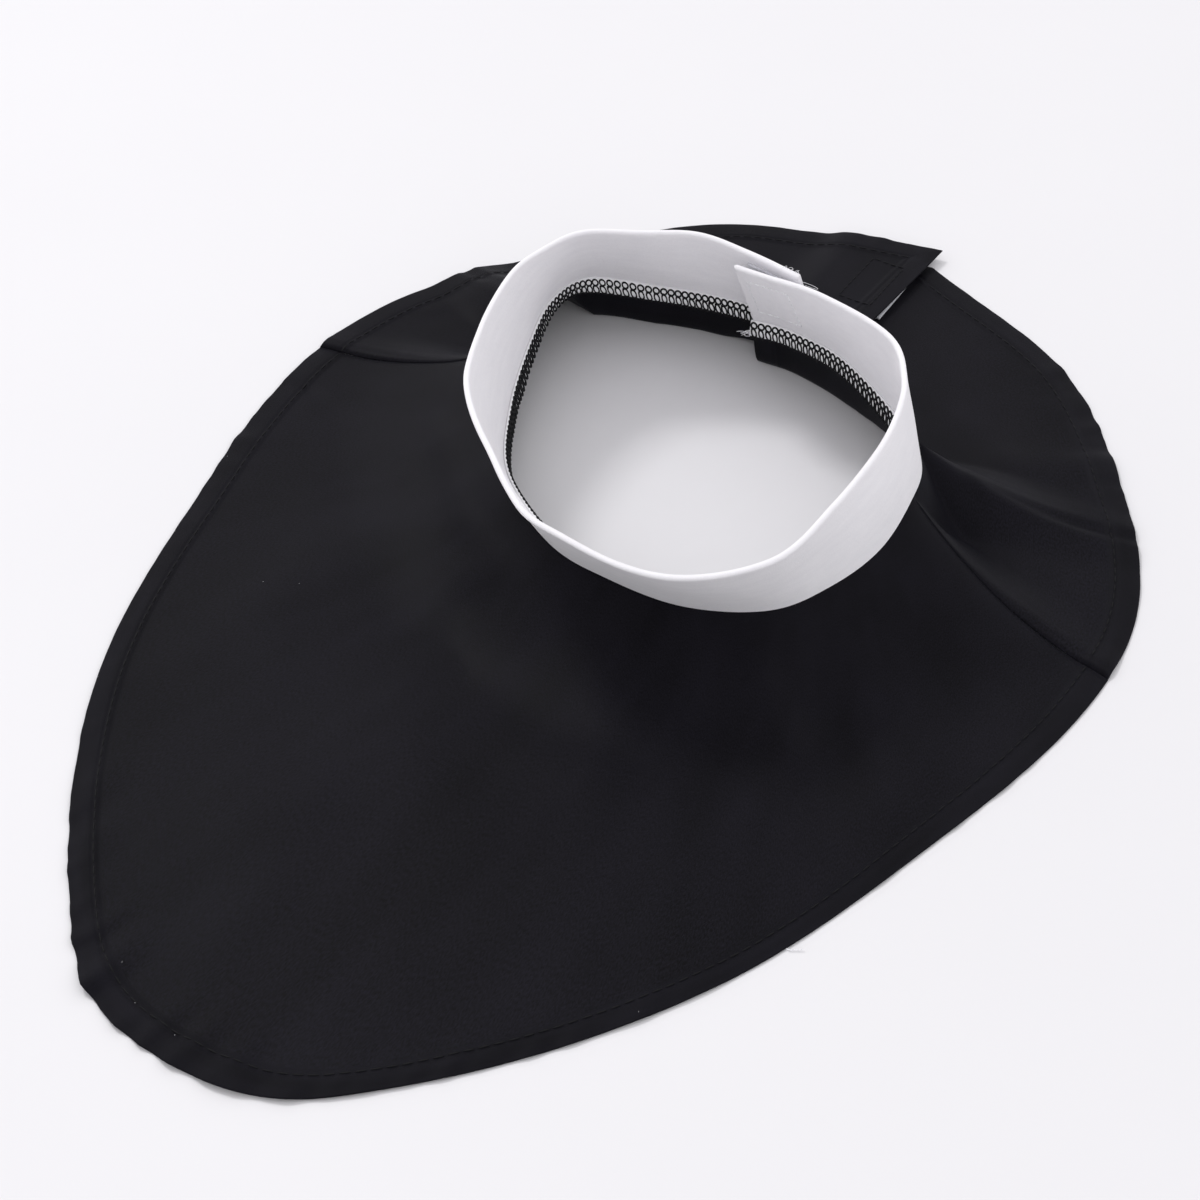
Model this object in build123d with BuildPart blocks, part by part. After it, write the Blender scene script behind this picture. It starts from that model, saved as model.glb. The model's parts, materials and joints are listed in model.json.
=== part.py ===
"""A black bib with a white stand-up collar band. It closes at the centre back.

The bib is three panels of thin satin: a long front and two backs, sewn together along the shoulders.
It lies flat on its brim and rises to the neck seam, where the stiffened collar band stands.
The right half laps over the left half at the centre back, and hook-and-loop tape holds it in two places:
the end of the collar and the corner of the back panel. Both ends peel open, so both are hinged.

Frame: +Z up, -Y towards the wearer's front, +X towards the wearer's left. Origin under the middle of
the bounding box, on the surface that the bib lies on. Millimetres.
"""
from build123d import *
from math import acos, atan2, cos, hypot, radians, sin, sqrt
import os

os.makedirs("parts", exist_ok=True)

# ---- the bib's outline ----
cape_width = 240.0  # across the shoulders
cape_length = 342.0  # from the front tip to the back corner
# the outline's shape: how far along from the shoulder line to its end, and how wide there
front_shape = ((0.34, 0.896), (0.61, 0.738), (0.925, 0.33))
right_back_shape = ((0.50, 0.783), (0.82, 0.50))
left_back_shape = ((0.50, 0.783), (0.78, 0.50))
right_hem_slope = 0.25  # rise of the hem as it reaches the back corner
left_hem_slope = 0.45

# ---- the neck ----
neck_long = 71.0  # half lengths of the neck seam's oval, along and across
neck_short = 49.0
neck_turn = -36.0  # degrees, the oval lies turned from the wearer's back right to their front left
neck_aside = -5.0  # the oval's middle lies this far to the right as the bib is laid down
back_depth = 69.0  # from the neck seam to the hem at the back
seam_height = 17.5  # neck seam above the surface
flare = 21.0  # how much longer the flat brim's neck edge is than the oval, each way
flare_back = 5.0  # how far behind the neck seam the brim lies flat

# ---- the collar band ----
collar_height = 29.0  # upright height of the band, at the middle of its length
collar_thickness = 1.6  # two layers of cotton with interfacing between
rim_long = 65.5  # half lengths of the top edge's oval
rim_short = 51.5
rim_turn = -46.0
rim_aside = -1.0
collar_lean = 16.0  # the rim lies this far forward of the neck seam
rim_tilt = 3.0  # degrees, the rim is lower at the front
interfacing_thickness = 0.5
rim_fold = 1.5  # cloth above the interfacing, where the band is folded over

# ---- cloth, tape and thread ----
cloth = 0.8  # one layer of hemmed satin
tape = 0.6  # hook or loop tape
gap = 0.2  # between pieces that part when the closing opens
hem = 7.0  # from the edge to the line of hem stitches
thread = 0.4  # width of a line of stitches
thread_height = 0.2  # how far stitches stand out of the cloth
curve_steps = 8  # places where an inset curve follows the outline

# ---- the centre-back closing ----
upper_end_x = 7.5  # end edge of the right back panel, which lies on top
lower_end_x = -14.0  # end edge of the left back panel and of the collar's inner end
collar_end_x = 5.0  # end edge of the collar's outer end
joggle = 2.0  # width of the step where the right back panel rises over the left one
step_clearance = 2.4  # between that step and the left panel's end, so that the flap can lift
end_slot = 3.0  # space between the collar's inner end and the band beside it
tab_root_x = -20.0  # fold line of the collar's outer end
tab_lift = 1.0  # the collar's outer end clears the neck seam
upper_proud = 6.0  # the upper corner stands out past the lower panel's hem
fold_start = 14.0  # the flap's fold line starts this far behind the flat brim's neck edge
fold_run = 48.0  # and runs this far across to the hem,
fold_rise = 45.0  # while it goes this far back

collar_tape_width = 16.0
collar_tape_height = 20.0
back_tape_width = 13.0
back_tape_length = 24.0
back_tape_inset = 4.0  # from the end edge
back_tape_from_corner = 12.5
lower_tape_shift = 5.5  # the lower tape was sewn this far towards the end edge

# ---- seam allowances ----
neck_allowance = 5.5  # height of the overlocked allowance below the neck seam
allowance_thickness = 0.8
overlock_thickness = 0.3
shoulder_allowance = 12.0
shoulder_slope = 0.22  # the shoulder seam runs back as it nears the neck


def oval_reach(long, short, turn):
    """How far a turned oval reaches forwards and backwards from its middle."""
    return hypot(long * sin(radians(turn)), short * cos(radians(turn)))


def oval_back(middle, long, short, turn, x):
    """Where a turned oval crosses the line at x, on its back side."""
    across = (long * cos(radians(turn)), -short * sin(radians(turn)))
    along = (long * sin(radians(turn)), short * cos(radians(turn)))
    start = atan2(across[1], across[0])
    swing = acos((x - middle[0]) / hypot(*across))
    ends = [along[0] * cos(t) + along[1] * sin(t) for t in (start - swing, start + swing)]
    return middle[1] + max(ends)


# ---- places that follow from the sizes above ----
half_width = cape_width / 2
back_y = cape_length / 2
front_y = -cape_length / 2
neck_back_y = back_y - back_depth
neck_y = neck_back_y - oval_reach(neck_long, neck_short, neck_turn)
shoulder_y = neck_y - 6.5
ground_long = neck_long + flare
ground_short = neck_short + flare
ground_y = neck_back_y + flare_back - oval_reach(ground_long, ground_short, neck_turn)
upper_lift = cloth + 2 * tape + gap  # underside of the upper layer
collar_inside = -(collar_thickness - cloth) / 2
collar_outside = collar_inside + collar_thickness
hook_outside = collar_outside + tape
loop_inside = hook_outside + gap
tab_inside = loop_inside + tape
tab_outside = tab_inside + collar_thickness
far = cape_width + cape_length  # longer than any part of the bib
window_depth = 10.0  # cutting prisms start this far below the surface
window_height = window_depth + 2 * (seam_height + collar_height)


def oval_shape(rise):
    """Half lengths and turn of the collar's oval."""
    if rise == 0:
        return neck_long, neck_short, neck_turn
    return rim_long, rim_short, rim_turn


def oval_plane(rise):
    """The plane of the collar's oval, from the neck seam (rise 0) to the rim (rise 1)."""
    middle = (
        neck_aside + (rim_aside - neck_aside) * rise,
        neck_y - collar_lean * rise,
        seam_height + collar_height * rise,
    )
    lean = radians(rim_tilt * rise)
    return Plane(origin=middle, x_dir=(1, 0, 0), z_dir=(0, -sin(lean), cos(lean)))


def draw_oval(rise, out, mode=Mode.ADD):
    """The collar's oval at the neck seam (rise 0) or the rim (rise 1), moved outwards by out."""
    long, short, turn = oval_shape(rise)
    Ellipse(long + out, short + out, rotation=turn, mode=mode)


def draw_ground_oval(out, mode=Mode.ADD):
    """The flat brim's neck edge, moved outwards by out."""
    with Locations((neck_aside, ground_y)):
        Ellipse(ground_long + out, ground_short + out, rotation=neck_turn, mode=mode)


def collar_wall(inside, outside, low, high):
    """The wall of the collar between two offsets from the neck seam's oval and between two rises."""
    with BuildPart() as wall:
        for out, mode in ((outside, Mode.ADD), (inside, Mode.SUBTRACT)):
            for rise in (0, 1):
                with BuildSketch(oval_plane(rise)):
                    draw_oval(rise, out)
            loft(ruled=True, mode=mode)
        if low > 0:
            split(bisect_by=oval_plane(low), keep=Keep.TOP)
        if high < 1:
            split(bisect_by=oval_plane(high), keep=Keep.BOTTOM)
    return wall.part


def back_window(low_x, high_x):
    """A box over the back, between two places across and two heights."""
    with BuildPart() as window:
        with BuildSketch(Plane.XY.offset(-window_depth)):
            with Locations(((low_x + high_x) / 2, shoulder_y - hem + far / 2)):
                Rectangle(high_x - low_x, far)
        extrude(amount=window_height)
    return window.part


def outline_half(side, proud):
    """Half of the bib's outline, from the shoulder to the front tip and to the back corner."""
    back_shape = left_back_shape if side > 0 else right_back_shape
    hem_slope = left_hem_slope if side > 0 else right_hem_slope
    shoulder = (side * half_width, shoulder_y)

    def points(shape, end_y):
        return [(side * half_width * w, shoulder_y + (end_y - shoulder_y) * a) for a, w in shape]

    with BuildLine() as half:
        Spline(
            shoulder,
            *points(front_shape, front_y),
            (0, front_y),
            tangents=[(0, -1), (-side, 0)],
        )
        Spline(
            shoulder,
            *points(back_shape, back_y),
            (upper_end_x, back_y - upper_proud + proud),
            tangents=[(0, 1), (-side, hem_slope)],
        )
    return half.line


def outline(proud):
    """The bib's outline. The back corner lies proud of the other half's hem."""
    with BuildSketch() as shape:
        with BuildLine():
            add(outline_half(-1, proud))
            add(outline_half(1, proud))
        make_face()
    return shape.sketch


def cloth_layer(lift, thickness, proud):
    """One layer of the bib: the flat brim with its neck hole, and the cloth that rises to the neck seam."""
    with BuildPart() as layer:
        with BuildSketch(Plane.XY.offset(lift)):
            add(outline(proud))
            draw_ground_oval(lift, mode=Mode.SUBTRACT)
        extrude(amount=thickness)
        for out, mode in ((lift + thickness, Mode.ADD), (lift, Mode.SUBTRACT)):
            with BuildSketch(Plane.XY.offset(lift)):
                draw_ground_oval(out)
            with BuildSketch(oval_plane(0)):
                draw_oval(0, out)
            loft(ruled=True, mode=mode)
    return layer.part


def region(*corners):
    """A tall prism over a polygon, to cut a panel out of a layer."""
    with BuildPart() as prism:
        with BuildSketch(Plane.XY.offset(-window_depth)):
            with BuildLine():
                Polyline(*corners, close=True)
            make_face()
        extrude(amount=window_height)
    return prism.part


def kept(shape, window):
    """The part of a shape that lies inside a window."""
    with BuildPart() as inside:
        add(shape)
        add(window, mode=Mode.INTERSECT)
    return inside.part


def shoulder_at(x):
    """The shoulder seam's place at x: it runs back as it nears the neck."""
    return shoulder_y + shoulder_slope * (half_width - abs(x))


def inset_curve(curve, inset):
    """A curve that runs inside a stretch of the outline, inset from it."""
    points = []
    for step in range(curve_steps + 1):
        place = curve @ (step / curve_steps)
        along = curve % (step / curve_steps)
        inward = Vector(-along.Y, along.X)
        if inward.dot(Vector(0, shoulder_y) - place) < 0:
            inward = -inward
        points.append(place + inward * inset)
    return Spline(*points, tangents=[curve % 0, curve % 1])


def stitch_line(side, level, proud):
    """Hem stitches along one half of the outline: a narrow raised line, hem in from the edge."""
    with BuildPart() as line:
        with BuildSketch(Plane.XY.offset(level)):
            for curve in outline_half(side, proud).edges():
                with BuildLine():
                    near = inset_curve(curve, hem)
                    beyond = inset_curve(curve, hem + thread)
                    Line(near @ 0, beyond @ 0)
                    Line(near @ 1, beyond @ 1)
                make_face()
        extrude(amount=thread_height)
    return line.part


# ---- where the panels meet ----
back_region = region(
    (-far, shoulder_at(far)), (0, shoulder_at(0)), (far, shoulder_at(far)), (far, far), (-far, far)
)
fold_y = fold_start + oval_back(
    (neck_aside, ground_y), ground_long, ground_short, neck_turn, upper_end_x
)
fold_length = sqrt(fold_run**2 + fold_rise**2)
fold_dir = (-fold_run / fold_length, fold_rise / fold_length)
flap_region = region(
    (upper_end_x - far * fold_dir[0], fold_y - far * fold_dir[1]),
    (upper_end_x + far * fold_dir[0], fold_y + far * fold_dir[1]),
    (far, 2 * far),
)
joggle_x = lower_end_x - step_clearance - joggle
flat_layer = cloth_layer(0, cloth, upper_proud)
lower_layer = cloth_layer(0, cloth, 0)
raised_layer = cloth_layer(upper_lift, cloth, upper_proud)
step_layer = cloth_layer(0, upper_lift + cloth, upper_proud)

# ---- panels ----
with BuildPart() as front_panel:
    add(flat_layer)
    add(back_region, mode=Mode.SUBTRACT)
front_panel.part.label = "front_panel"

# the right back is one cloth: flat, then a step up, then the layer that laps over the left back
with BuildPart() as right_back:
    add(kept(flat_layer, back_window(-far, joggle_x)))
    add(kept(step_layer, back_window(joggle_x, joggle_x + joggle)))
    add(kept(raised_layer, back_window(joggle_x, upper_end_x)))
    add(back_region, mode=Mode.INTERSECT)

with BuildPart() as right_back_panel:
    add(right_back.part)
    add(flap_region, mode=Mode.SUBTRACT)
right_back_panel.part.label = "right_back_panel"

with BuildPart() as right_back_flap:
    add(right_back.part)
    add(flap_region, mode=Mode.INTERSECT)
right_back_flap.part.label = "right_back_flap"

with BuildPart() as left_back_panel:
    add(kept(lower_layer, back_window(lower_end_x, far)))
    add(back_region, mode=Mode.INTERSECT)
left_back_panel.part.label = "left_back_panel"

# ---- collar band, with its interfacing in a pocket between the two layers of cotton ----
pocket_inside = collar_inside + (collar_thickness - interfacing_thickness) / 2
pocket_outside = pocket_inside + interfacing_thickness
pocket_top = 1 - rim_fold / collar_height
pocket_foot = rim_fold / collar_height
slot_window = back_window(lower_end_x - end_slot, lower_end_x)
pocket_window = back_window(lower_end_x - end_slot - rim_fold, lower_end_x + rim_fold)

with BuildPart() as collar_interfacing:
    add(collar_wall(pocket_inside, pocket_outside, pocket_foot, pocket_top))
    add(pocket_window, mode=Mode.SUBTRACT)
collar_interfacing.part.label = "collar_interfacing"

with BuildPart() as collar_band:
    add(collar_wall(collar_inside, collar_outside, 0, 1))
    add(slot_window, mode=Mode.SUBTRACT)
    add(collar_interfacing.part, mode=Mode.SUBTRACT)
collar_band.part.label = "collar_band"

# ---- the collar's outer end, which peels open with its own interfacing and loop tape ----
tab_foot = tab_lift / collar_height
tab_pocket_inside = tab_inside + (collar_thickness - interfacing_thickness) / 2
tab_window = back_window(tab_root_x, collar_end_x)
tab_pocket_window = back_window(tab_root_x + rim_fold, collar_end_x - rim_fold)

with BuildPart() as collar_tab_interfacing:
    add(
        collar_wall(
            tab_pocket_inside,
            tab_pocket_inside + interfacing_thickness,
            tab_foot + pocket_foot,
            pocket_top,
        )
    )
    add(tab_pocket_window, mode=Mode.INTERSECT)
collar_tab_interfacing.part.label = "collar_tab_interfacing"

with BuildPart() as collar_end_tab:
    add(collar_wall(tab_inside, tab_outside, tab_foot, 1))
    add(tab_window, mode=Mode.INTERSECT)
    add(collar_tab_interfacing.part, mode=Mode.SUBTRACT)
collar_end_tab.part.label = "collar_end_tab"

# ---- collar tapes: hook on the inner end, loop inside the outer end, and the stitches that hold them ----
tape_low = (collar_height - collar_tape_height) / 2 / collar_height
tape_high = 1 - tape_low
tape_left_x = (lower_end_x + collar_end_x - collar_tape_width) / 2
tape_window = back_window(tape_left_x, tape_left_x + collar_tape_width)
stitch_inset = 1.5  # from a tape's edge to its box of stitches
stitch_rise = stitch_inset / collar_height


def collar_tape(inside, outside):
    """A patch of tape on the collar's wall."""
    return kept(collar_wall(inside, outside, tape_low, tape_high), tape_window)


def collar_box_stitch(inside, outside):
    """A rectangle of stitches on the collar's wall, just inside the edge of its tape."""
    with BuildPart() as frame:
        add(
            kept(
                collar_wall(inside, outside, tape_low + stitch_rise, tape_high - stitch_rise),
                back_window(tape_left_x + stitch_inset, tape_left_x + collar_tape_width - stitch_inset),
            )
        )
        add(
            kept(
                collar_wall(
                    inside - gap,
                    outside + gap,
                    tape_low + stitch_rise + thread / collar_height,
                    tape_high - stitch_rise - thread / collar_height,
                ),
                back_window(
                    tape_left_x + stitch_inset + thread,
                    tape_left_x + collar_tape_width - stitch_inset - thread,
                ),
            ),
            mode=Mode.SUBTRACT,
        )
    return frame.part


with BuildPart() as collar_hook_tape:
    add(collar_tape(collar_outside, hook_outside))
collar_hook_tape.part.label = "collar_hook_tape"

with BuildPart() as collar_loop_tape:
    add(collar_tape(loop_inside, tab_inside))
collar_loop_tape.part.label = "collar_loop_tape"

with BuildPart() as collar_hook_stitches:
    add(collar_box_stitch(collar_inside - thread_height, collar_inside))
collar_hook_stitches.part.label = "collar_hook_stitches"

with BuildPart() as collar_loop_stitches:
    add(collar_box_stitch(tab_outside, tab_outside + thread_height))
collar_loop_stitches.part.label = "collar_loop_stitches"

# ---- back tapes: hook on the lower panel, loop under the flap ----
tape_y = back_y - back_tape_from_corner - back_tape_length / 2
loop_x = upper_end_x - back_tape_inset - back_tape_width / 2
hook_x = loop_x + lower_tape_shift


def flat_patch(x, level, thickness, inset=0.0):
    """A rectangle of tape lying flat, or the space inside its stitches."""
    with BuildPart() as patch:
        with BuildSketch(Plane.XY.offset(level)):
            with Locations((x, tape_y)):
                Rectangle(back_tape_width - 2 * inset, back_tape_length - 2 * inset)
        extrude(amount=thickness)
    return patch.part


with BuildPart() as back_hook_tape:
    add(flat_patch(hook_x, cloth, tape))
back_hook_tape.part.label = "back_hook_tape"

with BuildPart() as back_loop_tape:
    add(flat_patch(loop_x, upper_lift - tape, tape))
back_loop_tape.part.label = "back_loop_tape"

with BuildPart() as back_loop_stitches:
    add(flat_patch(loop_x, upper_lift + cloth, thread_height, stitch_inset))
    add(
        flat_patch(loop_x, upper_lift + cloth, thread_height, stitch_inset + thread),
        mode=Mode.SUBTRACT,
    )
back_loop_stitches.part.label = "back_loop_stitches"

# ---- hem stitches ----
right_stitches = stitch_line(-1, cloth, upper_proud)
left_stitches = stitch_line(1, cloth, 0)
raised_stitches = stitch_line(-1, upper_lift + cloth, upper_proud)

with BuildPart() as front_hem_stitches:
    add(right_stitches)
    add(left_stitches)
    add(back_region, mode=Mode.SUBTRACT)
front_hem_stitches.part.label = "front_hem_stitches"

with BuildPart() as right_back_hem_stitches:
    add(kept(right_stitches, back_window(-far, joggle_x)))
    add(back_region, mode=Mode.INTERSECT)
    add(flap_region, mode=Mode.SUBTRACT)
right_back_hem_stitches.part.label = "right_back_hem_stitches"

with BuildPart() as flap_hem_stitches:
    add(kept(right_stitches, back_window(-far, joggle_x)))
    add(kept(raised_stitches, back_window(joggle_x, upper_end_x - hem)))
    add(flap_region, mode=Mode.INTERSECT)
flap_hem_stitches.part.label = "flap_hem_stitches"

with BuildPart() as left_back_hem_stitches:
    add(kept(left_stitches, back_window(hook_x + back_tape_width / 2 + gap, far)))
    add(back_region, mode=Mode.INTERSECT)
left_back_hem_stitches.part.label = "left_back_hem_stitches"

# ---- neck seam allowance, which hangs below the seam inside the neck, bound with overlock thread ----


def neck_ring(inside, outside, foot):
    """An upright ring inside the neck seam, foot below it, open where the collar's ends lap."""
    with BuildPart() as ring:
        with BuildSketch(oval_plane(0).offset(-foot)):
            draw_oval(0, outside)
            draw_oval(0, inside, mode=Mode.SUBTRACT)
        extrude(amount=foot)
        add(slot_window, mode=Mode.SUBTRACT)
    return ring.part


with BuildPart() as neck_seam_allowance:
    add(neck_ring(-allowance_thickness, 0, neck_allowance))
neck_seam_allowance.part.label = "neck_seam_allowance"

with BuildPart() as neck_overlock_thread:
    add(neck_ring(-allowance_thickness - overlock_thickness, -allowance_thickness, neck_allowance))
neck_overlock_thread.part.label = "neck_overlock_thread"

# ---- shoulder seam allowances, under the cloth where it slopes up to the neck ----
with BuildPart() as under_slope:
    for out, mode in ((-gap, Mode.ADD), (-gap - allowance_thickness, Mode.SUBTRACT)):
        with BuildSketch():
            draw_ground_oval(out)
        with BuildSketch(oval_plane(0)):
            draw_oval(0, out)
        loft(ruled=True, mode=mode)


def shoulder_strip(side):
    """The allowance of one shoulder seam, centred on the seam line below the neck allowance."""
    inner_x = neck_aside + side * neck_short
    outer_x = neck_aside + side * ground_long
    half_strip = shoulder_allowance / 2
    with BuildPart() as window:
        with BuildSketch(Plane.XY.offset(gap)):
            with BuildLine():
                Polyline(
                    (inner_x, shoulder_at(inner_x) - half_strip),
                    (outer_x, shoulder_at(outer_x) - half_strip),
                    (outer_x, shoulder_at(outer_x) + half_strip),
                    (inner_x, shoulder_at(inner_x) + half_strip),
                    close=True,
                )
            make_face()
        extrude(amount=seam_height - neck_allowance - 2 * gap)
    return kept(under_slope.part, window.part)


with BuildPart() as right_shoulder_allowance:
    add(shoulder_strip(-1))
right_shoulder_allowance.part.label = "right_shoulder_allowance"

with BuildPart() as left_shoulder_allowance:
    add(shoulder_strip(1))
left_shoulder_allowance.part.label = "left_shoulder_allowance"

# ---- hinges of the two ends that peel open ----
tab_foot_y = oval_back(
    (neck_aside, neck_y), neck_long + tab_outside, neck_short + tab_outside, neck_turn, tab_root_x
)
tab_top_y = oval_back(
    (rim_aside, neck_y - collar_lean),
    rim_long + tab_outside,
    rim_short + tab_outside,
    rim_turn,
    tab_root_x,
)
print("collar tab hinge from", (tab_root_x, tab_foot_y, seam_height))
print("collar tab hinge to", (tab_root_x, tab_top_y, seam_height + collar_height))
print("flap hinge at", (upper_end_x, fold_y, upper_lift + cloth), "along", fold_dir)

export_step(front_panel.part, "parts/front_panel.step")
export_step(right_back_panel.part, "parts/right_back_panel.step")
export_step(right_back_flap.part, "parts/right_back_flap.step")
export_step(left_back_panel.part, "parts/left_back_panel.step")
export_step(collar_band.part, "parts/collar_band.step")
export_step(collar_interfacing.part, "parts/collar_interfacing.step")
export_step(collar_end_tab.part, "parts/collar_end_tab.step")
export_step(collar_tab_interfacing.part, "parts/collar_tab_interfacing.step")
export_step(collar_hook_tape.part, "parts/collar_hook_tape.step")
export_step(collar_loop_tape.part, "parts/collar_loop_tape.step")
export_step(collar_hook_stitches.part, "parts/collar_hook_stitches.step")
export_step(collar_loop_stitches.part, "parts/collar_loop_stitches.step")
export_step(back_hook_tape.part, "parts/back_hook_tape.step")
export_step(back_loop_tape.part, "parts/back_loop_tape.step")
export_step(back_loop_stitches.part, "parts/back_loop_stitches.step")
export_step(front_hem_stitches.part, "parts/front_hem_stitches.step")
export_step(right_back_hem_stitches.part, "parts/right_back_hem_stitches.step")
export_step(flap_hem_stitches.part, "parts/flap_hem_stitches.step")
export_step(left_back_hem_stitches.part, "parts/left_back_hem_stitches.step")
export_step(neck_seam_allowance.part, "parts/neck_seam_allowance.step")
export_step(neck_overlock_thread.part, "parts/neck_overlock_thread.step")
export_step(right_shoulder_allowance.part, "parts/right_shoulder_allowance.step")
export_step(left_shoulder_allowance.part, "parts/left_shoulder_allowance.step")
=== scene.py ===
# %% [markdown]
# # A black bib with a white stand-up collar
# The bib is three panels of thin black satin, sewn along the shoulders, with a stiff white collar band round
# the neck. The right back laps over the left back and is held by hook-and-loop tape. A CAD model already
# gives its size, its pieces and its two hinges: the collar's outer end and the corner of the right back peel
# open. Here each cloth is made again as cloth: with a hem, a slope that falls from the collar, soft
# undulations and real stitches. Everything is in metres and stays where the CAD model says.

# %% Load the fixed frame
import json
import random
from bisect import bisect_right
from math import atan2, cos, exp, pi, radians, sin, sqrt

import bmesh
import bpy
from mathutils import Matrix, Vector, noise
from mathutils.bvhtree import BVHTree


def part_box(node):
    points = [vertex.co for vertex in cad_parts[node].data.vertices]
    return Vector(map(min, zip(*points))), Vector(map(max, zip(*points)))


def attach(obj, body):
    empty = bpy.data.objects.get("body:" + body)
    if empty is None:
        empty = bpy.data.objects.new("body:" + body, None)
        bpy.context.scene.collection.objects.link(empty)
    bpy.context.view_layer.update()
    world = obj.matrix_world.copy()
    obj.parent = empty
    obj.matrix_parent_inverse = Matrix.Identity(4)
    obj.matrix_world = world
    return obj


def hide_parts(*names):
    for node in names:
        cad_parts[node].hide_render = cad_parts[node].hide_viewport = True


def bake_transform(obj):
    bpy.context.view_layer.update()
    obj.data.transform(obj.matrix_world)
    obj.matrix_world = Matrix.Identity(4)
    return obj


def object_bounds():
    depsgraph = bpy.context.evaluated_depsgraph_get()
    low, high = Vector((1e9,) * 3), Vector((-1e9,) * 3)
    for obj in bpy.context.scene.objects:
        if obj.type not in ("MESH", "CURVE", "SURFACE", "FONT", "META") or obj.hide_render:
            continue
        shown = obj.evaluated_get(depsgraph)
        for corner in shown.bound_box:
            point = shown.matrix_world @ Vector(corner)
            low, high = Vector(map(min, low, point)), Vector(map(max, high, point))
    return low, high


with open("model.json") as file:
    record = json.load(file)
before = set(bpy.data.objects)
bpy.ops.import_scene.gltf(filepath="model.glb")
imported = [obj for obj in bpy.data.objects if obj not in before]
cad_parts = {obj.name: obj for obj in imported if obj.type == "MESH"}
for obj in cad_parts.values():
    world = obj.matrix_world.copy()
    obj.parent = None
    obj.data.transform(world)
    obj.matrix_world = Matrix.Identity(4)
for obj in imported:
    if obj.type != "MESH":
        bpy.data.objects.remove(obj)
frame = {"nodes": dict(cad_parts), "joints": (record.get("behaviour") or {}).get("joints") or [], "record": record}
cad_low, cad_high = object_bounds()
MM = 0.001
mounts = {mount["name"]: mount for mount in frame["record"]["mounts"]}
neck_middle = Vector(mounts["neck_opening"]["pos_m"])
joints = {joint["name"]: joint for joint in frame["joints"]}
print("CAD box", [round(c, 4) for c in (*cad_low, *cad_high)], "neck middle", neck_middle)

# %% [markdown]
# ## Small helpers
# Cloth is drawn from a few stations that a smooth line runs through. A Catmull-Rom line is the simplest that
# passes through every station, which a Bezier or a NURBS line doesn't. `ease` is a soft step from 0 to 1.

# %% Smooth lines and soft steps
def ease(x):
    """A soft step: 0 below 0, 1 above 1."""
    x = min(max(x, 0.0), 1.0)
    return x * x * (3 - 2 * x)


def bump(x, width):
    """A soft hump of height 1 at 0, about width to each side."""
    return exp(-((x / width) ** 2))


def line_at(stations, t):
    """The place at t on a smooth line through stations: t is 0 at the first and grows by 1 for each."""
    last = len(stations) - 1
    i = min(max(int(t), 0), last - 1)
    f = t - i
    before, here, there, after = (stations[min(max(i + k, 0), last)] for k in (-1, 0, 1, 2))
    return (
        here * 2
        + (there - before) * f
        + (before * 2 - here * 5 + there * 4 - after) * f * f
        + (here * 3 - before - there * 3 + after) * f * f * f
    ) / 2


def measure(place, count):
    """Lengths along place(x), x from 0 to 1: the whole length and a function from length back to x."""
    reach = [0.0]
    for i in range(count):
        reach.append(reach[-1] + (place((i + 1) / count) - place(i / count)).length)

    def share(length):
        i = min(max(bisect_right(reach, length) - 1, 0), count - 1)
        return (i + (length - reach[i]) / (reach[i + 1] - reach[i])) / count

    return reach[-1], share


print("ease", ease(0.25), "bump", round(bump(1.0, 2.0), 3))

# %% [markdown]
# ## The collar's course
# The band is one strip that starts at its inner end at the centre back, runs forward over the left shoulder,
# round the front and back over the right shoulder, and ends outside its own inner end. Cloth never stands in
# a true oval, so each station says where the neck seam and the rim lie, in millimetres from the middle of
# the neck, like the points of a drawn curve.

# %% Where the band stands
BAND_STATIONS = (
    ((-9, 51.6, 0), (-7.6, 37.1, 27)),
    ((3, 52.1, 1), (2, 36.6, 27.5)),
    ((22, 47.6, 2), (19, 36.1, 29)),
    ((45, 35.6, 0), (41, 30.6, 29)),
    ((58.3, 19.8, 1.5), (52.2, 17.4, 30.5)),
    ((62.9, 4.8, 2.5), (57.8, 4.4, 31.5)),
    ((63.6, -11.9, 0), (60.4, -12.5, 30)),
    ((59.5, -28.4, -1), (60, -32.4, 28)),
    ((51, -43.4, -1.5), (56, -54.4, 25.5)),
    ((33, -53.4, -1.5), (38, -70.4, 23.5)),
    ((13, -56.4, 0), (13, -73.4, 25)),
    ((-5, -54.4, 1), (-7, -68.4, 27)),
    ((-29, -39.4, 0.5), (-35, -45.4, 29)),
    ((-43.5, -17.4, 0), (-47, -22.4, 29.5)),
    ((-53, 5.6, 2), (-52, -1.4, 31)),
    ((-59, 26.2, 2.5), (-51, 13.4, 30.2)),
    ((-56.4, 41.8, 1.5), (-47, 26, 29.2)),
    ((-38.4, 51.9, -0.6), (-35.3, 36, 27.9)),
    ((-22.4, 56.2, -0.3), (-22.3, 42.9, 28.2)),
    ((-7, 57, 0.5), (-7.5, 43.3, 27.8)),
    ((10, 55.1, 1), (9.5, 41.8, 27.8)),
)
seam_stations = [neck_middle + Vector(seam) * MM for seam, rim in BAND_STATIONS]
rim_stations = [neck_middle + Vector(rim) * MM for seam, rim in BAND_STATIONS]
SPANS = len(BAND_STATIONS) - 1
band_length, band_share = measure(
    lambda x: line_at(seam_stations, x * SPANS) + line_at(rim_stations, x * SPANS), 400
)
band_length /= 2
KINKS = ((0.515, 0.7, 0.016), (0.565, -0.3, 0.016), (0.635, 0.2, 0.012))


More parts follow.
